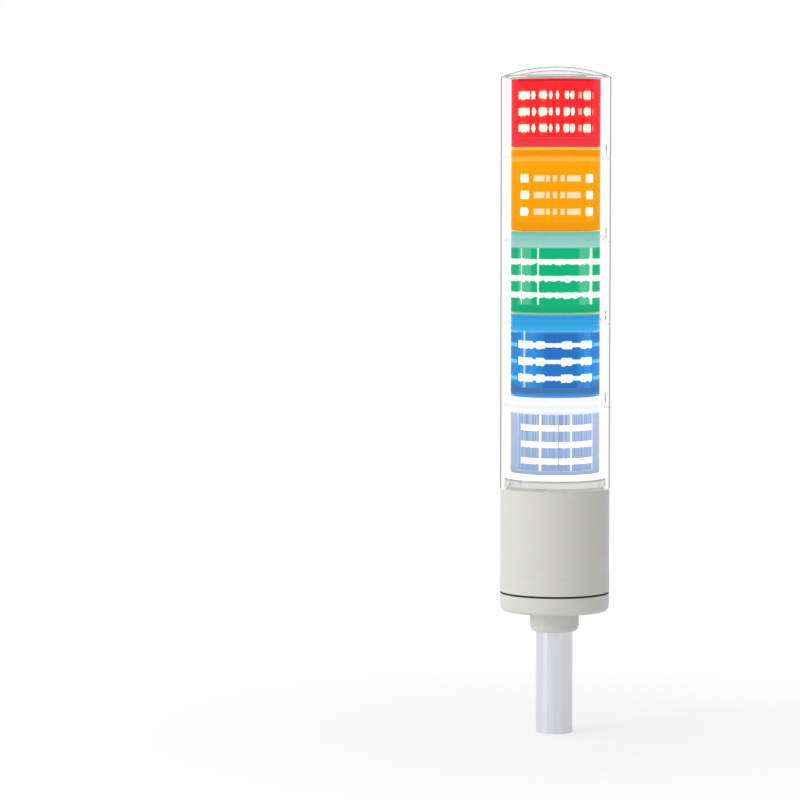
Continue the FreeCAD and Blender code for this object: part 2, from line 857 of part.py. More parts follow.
body = new_body("contact_plate")
rim_low = d.filter_rise
rim_high = d.filter_rise + d.plate_thick
floor = pad_rise
plug = neck_bore - 0.3
turned(
    body,
    "dish",
    [
        (0, floor - d.plate_floor),
        (plug, floor - d.plate_floor),
        (plug, rim_low - d.reveal),
        (plate_radius - d.reveal, rim_low - d.reveal),
        (plate_radius - d.reveal, rim_low),
        (plate_radius, rim_low),
        (plate_radius, rim_high),
        (plate_well, rim_high),
        (plate_well, floor),
        (0, floor),
    ],
)
hole = new_sketch(body, "screw_hole_round", "XY_Plane", lift=floor - d.plate_floor)
circle(hole, d.screw_radius + 0.25, x=pillar_circle)
cut = extruded(body, "screw_hole", hole, d.plate_floor, cut=True)
around(body, "screw_holes", [cut], d.pillar_count)
raise_to(body, tiers_level)
keep(body, "contact_plate")
make_pads("base_contact_pads", well_level)

# ---------------------------------------------------------------- base cap with its pillars

body = new_body("base_cap")
side_top = d.cone_height + d.cap_side
corner = d.body_radius - d.cap_draft
hub = stem_radius + 0.2
seat = d.seat_height
seat_radius = nut_flat * 1.25


def slope(radius):
    """Height of the cone's outer face at a radius."""
    return d.cone_height * (radius - collar_radius) / (corner - collar_radius)


thick_wall = d.cap_wall * 1.25
shell = turned(
    body,
    "shell",
    [
        (hub, 0),
        (collar_radius, 0),
        (corner, d.cone_height),
        (d.body_radius - 0.05, side_top),
        (spigot_radius, side_top),
        (spigot_radius, side_top + d.spigot_height),
        (spigot_bore, side_top + d.spigot_height),
        (spigot_bore, slope(spigot_bore) + thick_wall),
        (seat_radius, slope(seat_radius) + thick_wall),
        (seat_radius, seat),
        (hub, seat),
    ],
)
shell = rounded(body, "cone_edge", shell, [(corner, d.cone_height)], d.cone_round)
foot = slope(pillar_circle + d.pillar_radius + d.pillar_step) + 0.5
shoulder = board_level - cone_level
pillar_top = well_level - d.plate_floor - cone_level
post = new_sketch(body, "pillar_foot_round", "XY_Plane", lift=foot)
circle(post, d.pillar_radius + d.pillar_step, x=pillar_circle)
thick = extruded(body, "pillar_foot", post, shoulder - foot)
post = new_sketch(body, "pillar_round", "XY_Plane", lift=foot)
circle(post, d.pillar_radius, x=pillar_circle)
thin = extruded(body, "pillar", post, pillar_top - foot)
bore = new_sketch(body, "pillar_bore_round", "XY_Plane", lift=pillar_top)
circle(bore, d.screw_radius + d.slip_gap, x=pillar_circle)
cut = extruded(body, "pillar_bore", bore, d.screw_length + 1, cut=True, down=True)
around(body, "pillars", [thick, thin, cut], d.pillar_count)
raise_to(body, cone_level)
keep(body, "base_cap")

# black gasket between the base cap and the housing
make_ring(
    "base_gasket",
    gasket_level,
    d.body_radius - d.gasket_inset,
    spigot_radius + d.slip_gap,
    d.gasket_thick,
)

# tie screws through the contact plate into the pillars
screw = cylinder(d.screw_radius, d.screw_length, x=pillar_circle, z=well_level - d.screw_length)
screw = screw.fuse(cylinder(d.screw_head, 1.8, x=pillar_circle, z=well_level))
slot = box(2 * number(d.screw_head) + 1, 0.8, 1, pillar_circle, 0, number(well_level) + 1.0)
gathered("tie_screws", spread(screw.cut(slot), d.pillar_count))

# ---------------------------------------------------------------- circuit board and terminals

body = new_body("base_board")
disc = new_sketch(body, "disc", "XY_Plane")
circle(disc, inside - d.base_board_clear)
extruded(body, "board", disc, d.base_board_thick)
hole = new_sketch(body, "pillar_hole_round", "XY_Plane")
circle(hole, d.pillar_radius + 0.2, x=pillar_circle)
cut = extruded(body, "pillar_hole", hole, d.base_board_thick, cut=True)
around(body, "pillar_holes", [cut], d.pillar_count)
raise_to(body, board_level)
keep(body, "base_board")

board_top = board_level + d.base_board_thick
terminal_height, terminal_depth = 10.0, 9.0
wire_pitch, wire_count, entry = 4.2, 6, 2.6
terminal_low = number(board_level) - terminal_height
terminal_width = wire_pitch * wire_count + 1
terminal = box(terminal_width, terminal_depth, terminal_height, 0, 0, terminal_low)
clamps = []
for i in range(wire_count):
    x = (i - (wire_count - 1) / 2) * wire_pitch
    front = 0.75 - terminal_depth / 2
    terminal = terminal.cut(box(entry, entry, 6.0, x, 0, terminal_low))
    terminal = terminal.cut(box(entry, 1.5, entry, x, front, terminal_low + 3.5))
    clamps.append(box(entry - 0.4, 0.7, entry - 0.4, x, front + 0.35, terminal_low + 3.7))
gathered("terminal_block", [terminal] + clamps)

header_width, header_depth = 18.0, 5.0
plate_under = well_level - d.plate_floor
header = box(header_width, header_depth, plate_under - board_top, 0, 0, board_top)

parts_on_board = [header]
for side in (-1, 1):
    parts_on_board.append(cylinder(3.2, 8.0, y=11.0 * side, z=board_top))
chip = box(5.0, 4.0, 1.8, 16.5, 0, board_top)
parts_on_board += spread(chip, 3, 60.0)
gathered("board_parts", parts_on_board)

# ---------------------------------------------------------------- pole socket, lock nut and pole

body = new_body("pole_socket")
socket_top = d.pole_inside + d.stop_thick
collar = turned(
    body,
    "sleeve",
    [
        (socket_bore, 0),
        (collar_radius - d.collar_draft, 0),
        (collar_radius, d.collar_height),
        (stem_radius, d.collar_height),
        (stem_radius, socket_top),
        (pole_bore, socket_top),
        (pole_bore, d.pole_inside),
        (socket_bore, d.pole_inside),
    ],
)
rounded(body, "collar_edge", collar, [(collar_radius - d.collar_draft, 0)], d.collar_round)
grub_level = d.collar_height / 2 + 0.6
grub_turns = (60.0, 120.0)
hole = new_sketch(body, "set_screw_round", "YZ_Plane")
circle(hole, d.grub_radius + d.slip_gap, y=grub_level)
tap = extruded(body, "set_screw_hole", hole, collar_radius + 1, cut=True)
turned_taps = body.newObject("PartDesign::PolarPattern", "set_screw_holes")
turned_taps.Originals = [tap]
turned_taps.Axis = (origin(body, "Z_Axis"), [""])
turned_taps.Angle = grub_turns[1] - grub_turns[0]
turned_taps.Occurrences = len(grub_turns)
body.Tip = turned_taps
body.Placement = Placement(
    Vector(0, 0, number(collar_level)), Rotation(Vector(0, 0, 1), grub_turns[0])
)
body.setExpression("Placement.Base.z", collar_level.text)
keep(body, "pole_socket")

grubs = []
for turn in grub_turns:
    reach = number(pole_end_radius) + 0.02
    grub = cylinder(
        d.grub_radius, d.grub_length, x=reach, z=collar_level + grub_level, axis=Vector(1, 0, 0)
    )
    key = Part.makeCylinder(
        1.0,
        1.6,
        Vector(reach + number(d.grub_length) - 1.6, 0, number(collar_level + grub_level)),
        Vector(1, 0, 0),
    )
    grub = grub.cut(key)
    grub.rotate(Vector(), Vector(0, 0, 1), turn)
    grubs.append(grub)
gathered("set_screws", grubs)

body = new_body("lock_nut")
hexagon = new_sketch(body, "hexagon", "XY_Plane")
nut_corner = nut_flat / math.cos(math.pi / 6)
outline(
    hexagon,
    [
        (nut_flat, nut_corner / 2),
        (0, nut_corner),
        (0 - nut_flat, nut_corner / 2),
        (0 - nut_flat, 0 - nut_corner / 2),
        (0, 0 - nut_corner),
        (nut_flat, 0 - nut_corner / 2),
    ],
)
extruded(body, "nut", hexagon, d.nut_height)
bore = new_sketch(body, "nut_bore_round", "XY_Plane")
circle(bore, stem_radius + d.slip_gap)
extruded(body, "nut_bore", bore, d.nut_height, cut=True)
raise_to(body, nut_level)
keep(body, "lock_nut")

body = new_body("pole")
turned(
    body,
    "tube",
    [
        (pole_bore, 0),
        (d.pole_radius, 0),
        (d.pole_radius, d.pole_shown),
        (pole_end_radius, d.pole_shown),
        (pole_end_radius, pole_top),
        (pole_bore, pole_top),
    ],
)
keep(body, "pole")

# ---------------------------------------------------------------- check and write

doc.recompute()
for piece in doc.Objects:
    if any(flag in piece.State for flag in ("Invalid", "Error")):
        raise RuntimeError(f"{piece.Label} did not build: {piece.State}")
for piece in subparts:
    if piece.Shape.isNull() or not piece.Shape.isValid():
        raise RuntimeError(f"{piece.Label} has no valid shape")
for piece in subparts:
    piece.Shape.exportStep(f"parts/{piece.Label}.step")
    solids = len(piece.Shape.Solids)
    print(f"{piece.Label:22s} {solids:3d} solids {piece.Shape.Volume:10.1f} mm3")
print(len(subparts), "sub-parts")
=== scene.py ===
"""Looks of a stack light: five clear light modules on a base housing and a pole."""

import math

import bpy
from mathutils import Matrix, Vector


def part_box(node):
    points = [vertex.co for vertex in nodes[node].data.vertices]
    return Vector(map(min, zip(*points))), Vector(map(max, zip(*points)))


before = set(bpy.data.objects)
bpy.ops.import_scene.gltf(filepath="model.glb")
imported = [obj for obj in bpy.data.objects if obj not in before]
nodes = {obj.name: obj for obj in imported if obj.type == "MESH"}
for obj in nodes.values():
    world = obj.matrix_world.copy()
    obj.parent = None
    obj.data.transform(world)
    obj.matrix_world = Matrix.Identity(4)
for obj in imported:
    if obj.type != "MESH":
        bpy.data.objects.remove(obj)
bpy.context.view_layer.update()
scene = bpy.context.scene
MM = 0.001
TIERS = ("white", "blue", "green", "amber", "red")

# ---------------------------------------------------------------- camera

camera = bpy.data.objects.new("studio_camera", bpy.data.cameras.new("studio_camera"))
scene.collection.objects.link(camera)
scene.camera = camera
# Set well back, as for a product shot, and turned to leave the left of the picture free
camera.location = (0, -1.8, 0.300)
camera.rotation_euler = (math.radians(86.267), 0, math.radians(2.700))
camera.data.sensor_width = 36
camera.data.lens = 148.3
camera.data.clip_end = 50

# ---------------------------------------------------------------- material helpers


def linear(code, part=1.0):
    """Linear RGBA of an sRGB hex colour, at a part of its brightness."""
    shares = [int(code[i : i + 2], 16) / 255 for i in (0, 2, 4)]
    bent = [s / 12.92 if s <= 0.04045 else ((s + 0.055) / 1.055) ** 2.4 for s in shares]
    return [part * b for b in bent] + [1.0]


def add(tree, kind, *inputs, out=0, to=None, **settings):
    """Adds a node with its settings and links, and gives one of its outputs.

    The inputs are values or sockets to link, in the node's order, or one dict of them by name.
    The output also goes to the socket in to, where there is one.
    """
    node = tree.nodes.new("ShaderNode" + kind)
    for name, value in settings.items():
        setattr(node, name, value)
    named = inputs[0] if inputs and isinstance(inputs[0], dict) else dict(enumerate(inputs))
    for name, value in named.items():
        if isinstance(value, bpy.types.NodeSocket):
            tree.links.new(value, node.inputs[name])
        else:
            node.inputs[name].default_value = value
    if to is not None:
        tree.links.new(node.outputs[out], to)
    return node.outputs[out]


TIMES = {"operation": "MULTIPLY"}
PLUS = {"operation": "ADD"}
MINUS = {"operation": "SUBTRACT"}
TIMES_PLUS = {"operation": "MULTIPLY_ADD"}
LOWER = {"operation": "MINIMUM"}
HIGHER = {"operation": "MAXIMUM"}
SIZE = {"operation": "ABSOLUTE"}
SOFT = {"interpolation_type": "SMOOTHSTEP"}
COLOURS = {"data_type": "RGBA", "clamp_result": False, "out": 2}


def material(name, **sockets):
    """A new Principled material with its node tree and shader."""
    made = bpy.data.materials.new(name)
    made.use_nodes = True
    shader = made.node_tree.nodes["Principled BSDF"]
    for key, value in sockets.items():
        shader.inputs[key.replace("_", " ").title().replace("Ior", "IOR")].default_value = value
    return made, made.node_tree, shader


def place(tree):
    """Place on the light in millimetres."""
    spot = add(tree, "TexCoord", out="Object")
    return add(tree, "VectorMath", {0: spot, "Scale": 1 / MM}, operation="SCALE")


def shaded(tree, shader, amount, dark, light):
    """Base colour from dark to light over the range that noise really covers."""
    share = add(tree, "MapRange", amount, 0.3, 0.7)
    shades = {0: share, 6: linear(dark), 7: linear(light)}
    add(tree, "Mix", shades, to=shader.inputs["Base Color"], **COLOURS)


# ---------------------------------------------------------------- plain finishes


def moulded(name, light, dark, roughness, grain=0.8):
    """Injection-moulded plastic: a fine spark-eroded grain and faint flow marks 14 mm across.

    The real grain is about 0.1 mm, too fine to show, so it is drawn at grain millimetres.
    """
    made, tree, shader = material(name, ior=1.46)
    spot = place(tree)
    flow = add(tree, "TexNoise", {"Vector": spot, "Scale": 1 / 14, "Detail": 3.0})
    shaded(tree, shader, flow, dark, light)
    fine = add(tree, "TexNoise", {"Vector": spot, "Scale": 1 / grain, "Detail": 2.0})
    pits = {"Height": fine, "Distance": 0.03 * MM, "Strength": 0.35}
    add(tree, "Bump", pits, to=shader.inputs["Normal"])
    gloss = (fine, 0.12, roughness - 0.06)
    add(tree, "Math", *gloss, to=shader.inputs["Roughness"], **TIMES_PLUS)
    return made


# Light grey ABS, satin: even and soft, with a broad dull highlight
grey_abs = moulded("light_grey_abs", "d2d1cc", "cecdc8", 0.5)
# White ABS of the frames and contact plate, a little glossier
white_abs = moulded("white_abs", "f4f5f7", "eff0f3", 0.4)
# End disc: ABS drawn a darker grey than the white frames, with a hint of lilac
disc_abs = moulded("lilac_grey_abs", "cac4c9", "c5bfc4", 0.4)
# Chloroprene rubber of the gasket: black, dull, slightly brown
rubber = moulded("black_chloroprene", "2f2c25", "28251f", 0.75, 0.5)
# Glass-filled nylon of the terminal block
terminal_nylon = moulded("green_nylon", "2f8f57", "27814d", 0.45)
# Epoxy bodies of the parts on the board
epoxy = moulded("black_epoxy", "26272a", "1d1e20", 0.5)


def drawn_aluminium():
    """Drawn and clear-anodised tube: fine lines along the pole under a satin sheen.

    The draw lines are about 0.05 mm apart, so they are drawn at 0.6 mm to show.
    """
    made, tree, shader = material("anodised_aluminium", metallic=0.7)
    along = add(tree, "VectorMath", place(tree), (1, 1, 0.01), **TIMES)
    lines = add(tree, "TexNoise", {"Vector": along, "Scale": 1 / 0.6, "Detail": 3.0})
    shaded(tree, shader, lines, "d2d4d9", "dcdee3")
    add(tree, "Math", lines, 0.1, 0.25, to=shader.inputs["Roughness"], **TIMES_PLUS)
    scratches = {"Height": lines, "Distance": 0.01 * MM, "Strength": 0.3}
    add(tree, "Bump", scratches, to=shader.inputs["Normal"])
    return made


def plated(name, dark, light, roughness):
    """Plated small metal parts with the faint blotches of the bath, about 1.5 mm across."""
    made, tree, shader = material(name, metallic=1.0)
    blotches = add(tree, "TexNoise", {"Vector": place(tree), "Scale": 1 / 1.5, "Detail": 3.0})
    shaded(tree, shader, blotches, dark, light)
    gloss = (blotches, 0.2, roughness - 0.1)
    add(tree, "Math", *gloss, to=shader.inputs["Roughness"], **TIMES_PLUS)
    return made


def solder_resist(name, dark, light):
    """Solder resist over copper: slightly lighter and raised where tracks 3 mm wide run."""
    made, tree, shader = material(name, roughness=0.35)
    tracks = {"Vector": place(tree), "Scale": 0.35}
    cells = add(tree, "TexVoronoi", tracks, distance="MANHATTAN")
    copper = add(tree, "Math", cells, 0.9, operation="GREATER_THAN")
    shaded(tree, shader, copper, dark, light)
    raised = {"Height": copper, "Distance": 0.05 * MM, "Strength": 0.4}
    add(tree, "Bump", raised, to=shader.inputs["Normal"])
    return made


aluminium = drawn_aluminium()
zinc = plated("zinc_plated_steel", "9fa3a8", "c4c8cc", 0.35)
gilt = plated("gilt_brass", "b9a36a", "dcc98e", 0.3)
green_resist = solder_resist("green_solder_resist", "1d5a35", "2c7446")
white_resist = solder_resist("white_solder_resist", "e9ebee", "f6f7f9")


def with_painted_glow(name, plain, colour, strength, foot, top):
    """The same plastic with a painted glow between two heights in millimetres, standing in for
    light from the lowest lamps.
    """
    made = plain.copy()
    made.name = name
    tree = made.node_tree
    shader = tree.nodes["Principled BSDF"]
    height = add(tree, "SeparateXYZ", place(tree), out="Z")
    fade = 0.3
    above = add(tree, "MapRange", height, foot - fade, foot, 0.0, strength)
    below = add(tree, "MapRange", height, top, top - fade)
    add(tree, "Math", above, below, to=shader.inputs["Emission Strength"], **TIMES)
    shader.inputs["Emission Color"].default_value = linear(colour)
    return made


# ---------------------------------------------------------------- clear finishes

# The clear plastics are to vanish nearly, so they bend the light far less than the real 1.585 and
# hardly reflect
CLEAR_IOR = 1.02
TINTED_IOR = 1.03
FAINT_GLOSS = (0.1, 0.1, 0.1, 1)


def clear_moulding(name, clear, edge_shade, thin, full, wall=-1.0, foot=-1.0):
    """Clear polycarbonate, polished in the mould: it vanishes but for a painted grey shade line at
    its edges.

    The line comes where the eye looks along the surface, from thin to full of the way round, and
    only outside the radius wall and above the height foot, in millimetres.
    """
    made, tree, shader = material(
        name, transmission_weight=1.0, ior=CLEAR_IOR, roughness=0.0, specular_tint=FAINT_GLOSS
    )
    spot = place(tree)
    facing = add(tree, "LayerWeight", {"Blend": 0.5}, out="Facing")
    level = add(tree, "VectorMath", spot, (1, 1, 0), **TIMES)
    radius = add(tree, "VectorMath", level, operation="LENGTH", out="Value")
    edge = add(tree, "MapRange", facing, thin, full, **SOFT)
    height = add(tree, "SeparateXYZ", spot, out="Z")
    outer = add(tree, "MapRange", radius, wall - 0.1, wall)
    upper = add(tree, "MapRange", height, foot, foot + 0.5)
    edge = add(tree, "Math", edge, add(tree, "Math", outer, upper, **TIMES), **TIMES)
    entered = add(tree, "Math", 1.0, add(tree, "NewGeometry", out="Backfacing"), **MINUS)
    edge = add(tree, "Math", edge, entered, **TIMES)
    # Painted shade: the colour darkens to the edge shade where the eye looks along the surface
    shades = {0: edge, 6: linear(clear), 7: linear(edge_shade)}
    add(tree, "Mix", shades, to=shader.inputs["Base Color"], **COLOURS)
    swell = add(tree, "TexNoise", {"Vector": spot, "Scale": 1 / 9, "Detail": 1.0})
    flow = {"Height": swell, "Distance": 0.02 * MM, "Strength": 0.2}
    add(tree, "Bump", flow, to=shader.inputs["Normal"])
    return made


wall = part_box("red_globe")[1].x / MM - 0.1
globe_clear = clear_moulding("clear_polycarbonate", "ffffff", "1a191e", 0.72, 0.88, wall=wall)
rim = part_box("top_cap")[0].z / MM + 1.2
dome_clear = clear_moulding("clear_dome_polycarbonate", "faf9f8", "505058", 0.85, 0.92, foot=rim)


def silicone_rubber(name, thick, thin, **sockets):
    """Moulded silicone of the seals: soft and smooth, with a haze 3 mm across."""
    made, tree, shader = material(name, **sockets)
    haze = add(tree, "TexNoise", {"Vector": place(tree), "Scale": 1 / 3, "Detail": 2.0})
    shaded(tree, shader, haze, thick, thin)
    skin = {"Height": haze, "Distance": 0.02 * MM, "Strength": 0.3}
    add(tree, "Bump", skin, to=shader.inputs["Normal"])
    return made


# Clear silicone between the modules: it hardly shows
seal_silicone = silicone_rubber(
    "clear_silicone",
    "f6f6f8",
    "fcfcfd",
    transmission_weight=1.0,
    roughness=0.1,
    ior=CLEAR_IOR,
    specular_tint=FAINT_GLOSS,
)
# Milky silicone under the cap, with a painted glow that stands in for the red tier's light carried
# round as a soft even band
cap_painted_glow_silicone = silicone_rubber(
    "milky_silicone_painted_glow",
    "4a464a",
    "565256",
    roughness=0.4,
    emission_color=linear("b4acb4"),
    emission_strength=0.85,
)

# ---------------------------------------------------------------- lit modules

# tint: colour of the filter. wall: the painted glow of its wall where no ribs stand behind it, from
# the bottom up as (millimetres above the module's foot, colour). body, near, deep and hot: the
# painted light that the ribs show between the rows of lamps, at its lightest and at its darkest
# there, and in the rows.
LIT = {
    "white": {
        "tint": "cbd4e5",
        "wall": [(8, "9cb0cf"), (14, "aabcd8"), (41.4, "b8c6de"), (42.3, "fbfdff"), (51, "fbfdff")],
        "body": "92acd2",
        "deep": "5f7cb4",
        "near": "dfe9fa",
        "hot": "ffffff",
    },
    "blue": {
        "tint": "5a96d8",
        "wall": [
            (5, "5f9fe0"),
            (7.4, "4c8fd8"),
            (8.4, "4878b2"),
            (11.5, "4878b2"),
            (15, "3c98dc"),
            (40.3, "3a80c8"),
            (41.0, "9accf4"),
            (42.2, "3cb4ec"),
            (49.6, "2f9edc"),
            (50.4, "46a8e0"),
            (51, "e4eec0"),
        ],
        "body": "3492d4",
        "deep": "2a68b0",
        "near": "48a6ee",
        "hot": "fbffff",
    },
    "green": {
        "tint": "48bc9f",
        "wall": [
            (5, "e2e6ae"),
            (5.9, "e2e6ae"),
            (6.6, "10ac72"),
            (15, "28b482"),
            (41.2, "20ae80"),
            (42.0, "a6d4cc"),
            (46.0, "98d0c8"),
            (50.0, "74c2ae"),
            (50.4, "e0cc80"),
            (51, "f0c060"),
        ],
        "body": "16be88",
        "deep": "06965e",
        "near": "74d8ac",
        "hot": "fffdf6",
    },
    "amber": {
        "tint": "f0a848",
        "wall": [
            (5, "f49a14"),
            (12, "fa9e0c"),
            (42.6, "fda60a"),
            (43.4, "ffbe44"),
            (45.8, "ffb030"),
            (46.8, "fc9206"),
            (49.0, "fd960a"),
            (49.6, "ffd05c"),
            (51, "ffb04c"),
        ],
        "body": "fcb012",
        "deep": "f69400",
        "near": "ffb428",
        "hot": "fffdee",
    },
    "red": {
        "tint": "e4686c",
        "wall": [(5, "f08c4c"), (6.2, "f0404a"), (10, "f03a44"), (14, "fb353c"), (44, "fd343b")],
        "body": "fd323c",
        "deep": "e81c28",
        "near": "ff7c50",
        "hot": "fffae2",
    },
}

# The painted light that each row of lamps throws on the ribs. between and at: half its height in
# millimetres between the spots and at them. uneven and waves: how much its edges waver, and how
# often. ends, spots, faint spots, columns, seam and wide glows are each (middle, half width), in
# degrees round from the front. strength: that of the columns. The back is the same as the front.
RIBS = {
    "white": {
        "between": 1.6,
        "at": 1.6,
        "uneven": 0.4,
        "waves": 0.1,
        "ends": (7.1, 70.4),
        "columns": [(-22.8, 1.6), (24.8, 1.2), (75.4, 3.5)],
        "strength": 0.9,
        "seam": (5.4, 0.4),
    },
    "blue": {
        "between": 1.1,
        "at": 2.1,
        "uneven": 1.1,
        "waves": 0.13,
        "ends": (-2.1, 74.0),
        "spots": [(-55.9, 20.4), (-23.2, 6.7), (17.9, 7.9), (57.5, 13.5)],
        "columns": [(-54.3, 2.6)],
        "strength": 0.5,
        "wide": [(-50.0, 16.0), (58.0, 6.0)],
    },
    "green": {
        "between": 1.4,
        "at": 1.9,
        "uneven": 2.6,
        "waves": 0.085,
        "ends": (0.0, 90.0),
        "spots": [(-62.6, 6.0), (68.3, 8.0)],
        "columns": [(-62.6, 2.6), (-27.1, 1.6), (68.3, 3.0)],
        "strength": 0.75,
        "wide": [(-58.0, 14.0), (52.0, 10.0)],
    },
    "amber": {
        "between": -1.5,
        "at": 2.2,
        "uneven": 0.5,
        "waves": 0.1,
        "ends": (0.0, 90.0),
        "spots": [(-56.5, 11.9), (65.1, 12.5)],
        "faint": [(-25.9, 8.7), (-11.7, 2.6), (-1.2, 2.8), (10.2, 2.9), (29.0, 11.4)],
    },
    "red": {
        "between": -1.5,
        "at": 2.1,
        "uneven": 1.4,
        "waves": 0.11,
        "ends": (0.0, 90.0),
        "spots": [
            (-59.8, 17.0),
            (-35.5, 3.6),
            (-20.2, 6.4),
            (-7.6, 2.4),
            (2.5, 2.4),
            (16.4, 3.8),
            (25.4, 3.4),
            (55.9, 9.8),
        ],
        "faint": [(39.1, 3.4), (-82.0, 2.0), (74.0, 3.0)],
        "wide": [(-60.0, 4.0), (58.0, 2.0), (-20.0, 0.0)],
    },
}
# Each of a filter's two faces adds this part of the wall's painted glow over the ribs
WALL_SHARE = 0.2
# And the ribs add this part, which the filter's tint then colours
RIB_SHARE = 0.55
# The lamps are far brighter than the rest, so they burn out a little
HOT_SHARE = 1.08

# Where no ribs stand behind a filter: below them and above them, in millimetres above the
# module's foot, and past their sides, by how far the wall is turned away
BELOW_RIBS = (11.2, 10.6)
ABOVE_RIBS = (41.2, 42.0)
PAST_RIBS = (0.45, 0.49)
# There the wall has a nearly even painted glow of its own, and hardly shows what is behind it
EVEN_GLOW = 0.94
EVEN_COVER = 0.92
# Painted bars of lamp light run out past the ribs to the filter's edges: half height, colour,
# strength
SIDE_BARS = {"green": (1.5, "fffdf6", 2.0), "blue": (1.0, "7fd8f8", 0.9)}


def lamp_rows(colour):
    """Height of a module's lowest row of lamps and the pitch of its rows, in millimetres."""
    low, high = [corner.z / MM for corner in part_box(colour + "_leds")]
    half_lamp = 1.5
    return low + half_lamp, (high - low) / 2 - half_lamp


def from_row(tree, colour, height):
    """Which row of lamps is nearest (-1, 0 or 1), and the millimetres up from its middle."""
    low, pitch = lamp_rows(colour)
    rows = add(tree, "Math", height, 1 / pitch, -low / pitch - 1, **TIMES_PLUS)
    nearest = add(tree, "Math", rows, operation="ROUND")
    nearest = add(tree, "Clamp", nearest, -1.0, 1.0)
    up = add(tree, "Math", add(tree, "Math", rows, nearest, **MINUS), pitch, **TIMES)
    return nearest, up


def outside(tree, angle, marks, radius):
    """Millimetres from the edge of the nearest mark, less than 0 inside it."""
    nearest = 180.0
    for middle, half in marks:
        away = add(tree, "Math", add(tree, "Math", angle, middle, **MINUS), **SIZE)
        away = add(tree, "Math", away, half, **MINUS)
        nearest = add(tree, "Math", away, nearest, **LOWER)
    return add(tree, "Math", nearest, math.radians(radius), **TIMES)


def filter_painted_glow(colour, look, level):
    """Tinted polycarbonate, moulded and clear: it shows the ribs, and its painted glow stands in
    for their light.

    Its foot, its cup and its edges, where no ribs stand behind it, have an even painted glow.
    """
    made, tree, shader = material(
        colour + "_polycarbonate", ior=TINTED_IOR, roughness=0.0, specular_tint=FAINT_GLOSS
    )
    height = add(tree, "SeparateXYZ", place(tree), out="Z")
    rise = add(tree, "Math", height, level, **MINUS)
    foot = add(tree, "MapRange", rise, *BELOW_RIBS, **SOFT)
    # The top module is closed by a disc and has no lit cup above its ribs
    cup = add(tree, "MapRange", rise, *ABOVE_RIBS, **SOFT) if colour != "red" else 0.0
    facing = add(tree, "LayerWeight", {"Blend": 0.5}, out="Facing")
    margin = add(tree, "MapRange", facing, *PAST_RIBS, **SOFT)
    inner = add(tree, "NewGeometry", out="Backfacing")
    margin = add(tree, "Math", margin, inner, **MINUS)
    margin = add(tree, "Math", margin, 0.0, **HIGHER)
    even = add(tree, "Math", add(tree, "Math", foot, cup, **HIGHER), margin, **HIGHER)

    tints = {0: even, 6: linear(look["tint"]), 7: linear(look["tint"], 0.05)}
    add(tree, "Mix", tints, to=shader.inputs["Base Color"], **COLOURS)
    cover = (even, -EVEN_COVER, 1.0)
    add(tree, "Math", *cover, to=shader.inputs["Transmission Weight"], **TIMES_PLUS)
    # Painted glow: emission over the whole wall, strongest where no ribs stand behind it
    share = (even, EVEN_GLOW - WALL_SHARE, WALL_SHARE)
    add(tree, "Math", *share, to=shader.inputs["Emission Strength"], **TIMES_PLUS)

    stops = look["wall"]
    low, high = float(stops[0][0]), float(stops[-1][0])
    glow = add(tree, "ValToRGB", add(tree, "MapRange", rise, low, high))
    line = glow.node.color_ramp.elements
    for step, _ in stops[1:-1]:
        line.new((step - low) / (high - low))
    for stop, (_, code) in zip(line, stops):
        stop.color = linear(code)
    if colour in SIDE_BARS:
        half, code, strength = SIDE_BARS[colour]
        _, up = from_row(tree, colour, height)
        off = add(tree, "Math", up, **SIZE)
        bar = add(tree, "MapRange", off, half + 0.3, half - 0.3, 0.0, strength, **SOFT)
        bar = add(tree, "Math", bar, margin, **TIMES)
        glow = add(tree, "Mix", {0: bar, 6: glow, 7: linear(code)}, **COLOURS)
    tree.links.new(glow, shader.inputs["Emission Color"])
    return made


def round_prism(tree, spot):
    """Degrees round a prism from the front, -90 to 90, and then the same again at the back."""
    across = add(tree, "SeparateXYZ", spot, out="X")
    back = add(tree, "SeparateXYZ", spot, out="Y")
    front = add(tree, "Math", back, -1.0, **TIMES)
    turn = add(tree, "Math", across, front, operation="ARCTAN2")
    halves = add(tree, "Math", turn, 1 / math.pi, 0.5, **TIMES_PLUS)
    part = add(tree, "Math", halves, operation="FRACT")
    return add(tree, "Math", part, 180.0, -90.0, **TIMES_PLUS)


def lit_row(tree, ribs, angle, nearest, up, radius):
    """1 in a row of lamps: thin between its spots, thick at them, uneven most along its foot."""
    along = add(tree, "CombineXYZ", add(tree, "Math", angle, ribs["waves"], **TIMES), nearest)
    waves = add(tree, "TexNoise", {"Vector": along, "Detail": 1.0, "Scale": 1.0})
    waves = add(tree, "Math", waves, 0.5, **MINUS)
    # The sides of the spots waver by a few degrees too
    moved = add(tree, "Math", waves, 10.0, angle, **TIMES_PLUS)
    spots = outside(tree, moved, ribs.get("spots", []), radius)
    half = add(tree, "MapRange", spots, 0.7, -0.4, ribs["between"], ribs["at"], **SOFT)
    below = add(tree, "MapRange", up, 0.2, -0.2, 0.4, 2.0)
    uneven = add(tree, "Math", add(tree, "Math", waves, below, **TIMES), ribs["uneven"], **TIMES)
    half = add(tree, "Math", half, uneven, **PLUS)
    inside = add(tree, "Math", half, add(tree, "Math", up, **SIZE), **MINUS)
    row = add(tree, "MapRange", inside, -0.3, 0.3, **SOFT)
    ends = outside(tree, angle, [ribs["ends"]], radius)
    return add(tree, "Math", row, add(tree, "MapRange", ends, 0.2, -0.4, **SOFT), **TIMES)


def behind(look, code, part):
    """The light on the ribs that shows as this colour through the tinted filter."""
    return [part * c / t for c, t in zip(linear(code)[:3], linear(look["tint"]))] + [1.0]


